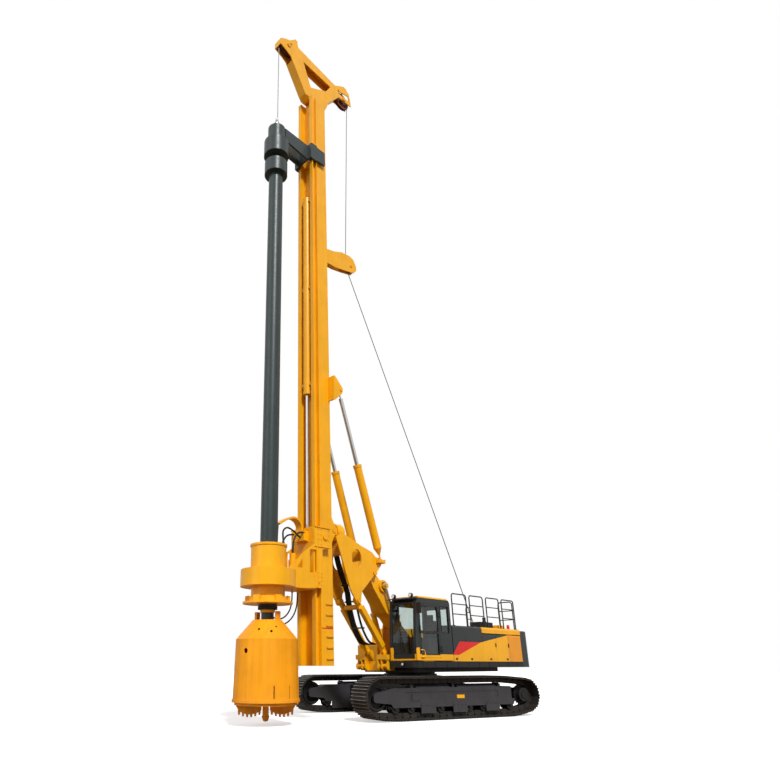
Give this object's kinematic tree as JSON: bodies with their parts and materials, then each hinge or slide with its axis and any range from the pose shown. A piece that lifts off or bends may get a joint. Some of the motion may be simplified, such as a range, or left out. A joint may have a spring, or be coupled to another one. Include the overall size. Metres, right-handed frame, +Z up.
{
  "type": "rotary piling rig",
  "caption": "Tracked rotary piling rig with a luffing boom linkage, raking and tilting mast, crowd carriage with rotary drive, kelly bar and drilling bucket.",
  "frame": {"origin": "on the ground under the middle of the whole rig, between the counterweight and the front of the drilling bucket; the slewing axis is 1.0035 m behind it", "axes": "+X forward, the way the mast and the cab face; +Y towards the cab side (left); +Z up; the tracks stand turned by 16 degrees under the upper works"},
  "size_m": [11.927, 6.295, 25.42],
  "materials": {
    "yellow": "glossy yellow paint",
    "charcoal": "satin dark grey paint",
    "black": "satin black paint",
    "green_black": "satin green-black paint",
    "track_steel": "worn dark steel",
    "steel": "bare steel",
    "chrome_rod": "polished rod",
    "oxide_red": "dark red-brown paint",
    "glass": "tinted glass",
    "seat_trim": "dark trim",
    "rubber": "black rubber",
    "bucket_yellow": "orange-yellow paint",
    "engine_block": "dark cast iron"
  },
  "bodies": {
    "undercarriage": {"carbody": "black", "slew_ring": "black", "track_frame_left": "black", "track_frame_right": "black", "track_left": "track_steel", "track_right": "track_steel", "idlers": "black", "sprockets": "black", "rollers": "black"},
    "superstructure": {"deck": "black", "nose": "yellow", "lamps": "black", "boom_tower": "yellow", "counterweight": "charcoal", "house_left": "yellow", "hood_left": "yellow", "house_right": "yellow", "tank_right": "yellow", "engine": "engine_block", "air_box": "black", "handrails": "charcoal", "cab_frame": "charcoal", "cab_roof": "yellow", "cab_glass": "glass", "seat": "seat_trim", "winch_stand": "yellow"},
    "door": {"cab_door": "charcoal", "door_glass": "glass"},
    "winch": {"winch_drum": "yellow"},
    "boom": {"boom": "yellow"},
    "rods": {"support_rods": "yellow"},
    "triangle": {"triangle": "yellow"},
    "cross_seat": {"cross_seat": "yellow"},
    "luff_barrels": {"luff_barrels": "yellow"},
    "luff_rods": {"luff_rods": "chrome_rod"},
    "gimbal_left": {"gimbal_left": "yellow"},
    "gimbal_right": {"gimbal_right": "yellow"},
    "mast_barrel_left": {"mast_barrel_left": "yellow"},
    "mast_barrel_right": {"mast_barrel_right": "yellow"},
    "mast_rod_left": {"mast_rod_left": "chrome_rod"},
    "mast_rod_right": {"mast_rod_right": "chrome_rod"},
    "mast": {"mast": "yellow", "mast_head": "yellow", "pulley_arm": "yellow", "crowd_barrel": "yellow"},
    "sheave_front": {"sheave_front": "oxide_red"},
    "sheave_rear": {"sheave_rear": "oxide_red"},
    "guide_pulley": {"guide_pulley": "oxide_red"},
    "carriage": {"carriage": "yellow", "rotary_drive": "yellow", "drive_motors": "yellow", "crowd_rod": "chrome_rod", "drive_hose_1": "rubber", "drive_hose_2": "rubber"},
    "drive_output": {"drive_output": "yellow"},
    "kelly_guide": {"kelly_guide": "green_black", "rope_swivel": "steel"},
    "kelly": {"kelly_bar": "green_black", "bucket": "bucket_yellow"},
    "bucket_gate": {"bucket_gate": "bucket_yellow"}
  },
  "joints": [
    {"name": "slew", "type": "hinge", "parent": "undercarriage", "child": "superstructure", "pos_m": [-1.0035, 0, 1.2], "axis": [0, 0, 1], "continuous": true},
    {"name": "door", "type": "hinge", "parent": "superstructure", "child": "door", "pos_m": [-0.4735, 1.704, 2.4], "axis": [0, 0, 1], "range_deg": [0, 150]},
    {"name": "winch", "type": "hinge", "parent": "superstructure", "child": "winch", "pos_m": [-4.9035, 0, 2.45], "axis": [0, 1, 0], "continuous": true},
    {"name": "luff", "type": "hinge", "parent": "superstructure", "child": "boom", "pos_m": [-0.2035, 0, 2.68], "axis": [0, 1, 0], "range_deg": [-15, 15]},
    {"name": "rod_foot", "type": "hinge", "parent": "superstructure", "child": "rods", "pos_m": [0.5965, 0, 1.78], "axis": [0, 1, 0], "range_deg": [-16, 16]},
    {"name": "boom_head", "type": "hinge", "parent": "boom", "child": "triangle", "pos_m": [1.0565, 0, 4.2], "axis": [0, 1, 0], "range_deg": [-16, 16]},
    {"name": "luff_foot", "type": "hinge", "parent": "superstructure", "child": "luff_barrels", "pos_m": [-0.2235, 0, 1.76], "axis": [0, 1, 0], "range_deg": [-9.27, 9.27]},
    {"name": "luff_rod", "type": "slide", "parent": "luff_barrels", "child": "luff_rods", "axis": [0.3425, 0, 0.9395], "range_m": [-0.079, 0.079]},
    {"name": "side_tilt", "type": "hinge", "parent": "triangle", "child": "cross_seat", "pos_m": [2.7315, 0, 5.34], "axis": [1, 0, 0], "range_deg": [-4, 4]},
    {"name": "mast_rake", "type": "hinge", "parent": "cross_seat", "child": "mast", "pos_m": [2.7315, 0, 5.34], "axis": [0, 1, 0], "range_deg": [-15, 5]},
    {"name": "gimbal_left", "type": "hinge", "parent": "triangle", "child": "gimbal_left", "pos_m": [0.8165, 0.505, 4.57], "axis": [1, 0, 0], "range_deg": [-4, 4]},
    {"name": "mast_foot_left", "type": "hinge", "parent": "gimbal_left", "child": "mast_barrel_left", "pos_m": [0.8165, 0.505, 4.57], "axis": [0, 1, 0], "range_deg": [-12.02, 4]},
    {"name": "mast_rod_left", "type": "slide", "parent": "mast_barrel_left", "child": "mast_rod_left", "axis": [0.3089, 0, 0.9511], "range_m": [-0.445, 0.148]},
    {"name": "gimbal_right", "type": "hinge", "parent": "triangle", "child": "gimbal_right", "pos_m": [0.8165, -0.505, 4.57], "axis": [1, 0, 0], "range_deg": [-4, 4]},
    {"name": "mast_foot_right", "type": "hinge", "parent": "gimbal_right", "child": "mast_barrel_right", "pos_m": [0.8165, -0.505, 4.57], "axis": [0, 1, 0], "range_deg": [-12.02, 4]},
    {"name": "mast_rod_right", "type": "slide", "parent": "mast_barrel_right", "child": "mast_rod_right", "axis": [0.3089, 0, 0.9511], "range_m": [-0.445, 0.148]},
    {"name": "crowd", "type": "slide", "parent": "mast", "child": "carriage", "axis": [0, 0, -1], "range_m": [-4.1, 0]},
    {"name": "drive_turn", "type": "hinge", "parent": "carriage", "child": "drive_output", "pos_m": [5.0765, 0, 3.2], "axis": [0, 0, 1], "continuous": true},
    {"name": "kelly_hoist", "type": "slide", "parent": "mast", "child": "kelly_guide", "axis": [0, 0, -1], "range_m": [0, 12]},
    {"name": "kelly_turn", "type": "hinge", "parent": "kelly_guide", "child": "kelly", "pos_m": [5.0765, 0, 19], "axis": [0, 0, 1], "continuous": true},
    {"name": "gate", "type": "hinge", "parent": "kelly", "child": "bucket_gate", "pos_m": [4.1465, 0, 0.52], "axis": [0, 1, 0], "range_deg": [0, 80]},
    {"name": "front_sheave", "type": "hinge", "parent": "mast", "child": "sheave_front", "pos_m": [4.6865, 0, 24.77], "axis": [0, 1, 0], "continuous": true},
    {"name": "rear_sheave", "type": "hinge", "parent": "mast", "child": "sheave_rear", "pos_m": [1.5065, 0, 24.34], "axis": [0, 1, 0], "continuous": true},
    {"name": "guide_pulley", "type": "hinge", "parent": "mast", "child": "guide_pulley", "pos_m": [1.3265, 0, 15.86], "axis": [0, 1, 0], "continuous": true}
  ],
  "couplings": [
    {"joint": "rod_foot", "follows": "luff", "ratio": 1},
    {"joint": "boom_head", "follows": "luff", "ratio": -1},
    {"joint": "luff_foot", "follows": "luff", "ratio": 0.60613},
    {"joint": "luff_rod", "follows": "luff", "m_per_rad": -0.2954},
    {"joint": "gimbal_left", "follows": "side_tilt", "ratio": 0.859},
    {"joint": "gimbal_right", "follows": "side_tilt", "ratio": 0.859},
    {"joint": "mast_foot_left", "follows": "mast_rake", "ratio": 0.78527},
    {"joint": "mast_foot_right", "follows": "mast_rake", "ratio": 0.78527},
    {"joint": "mast_rod_left", "follows": "mast_rake", "m_per_rad": 1.6659},
    {"joint": "mast_rod_right", "follows": "mast_rake", "m_per_rad": 1.6659},
    {"joint": "drive_turn", "follows": "kelly_turn", "ratio": 1}
  ]
}
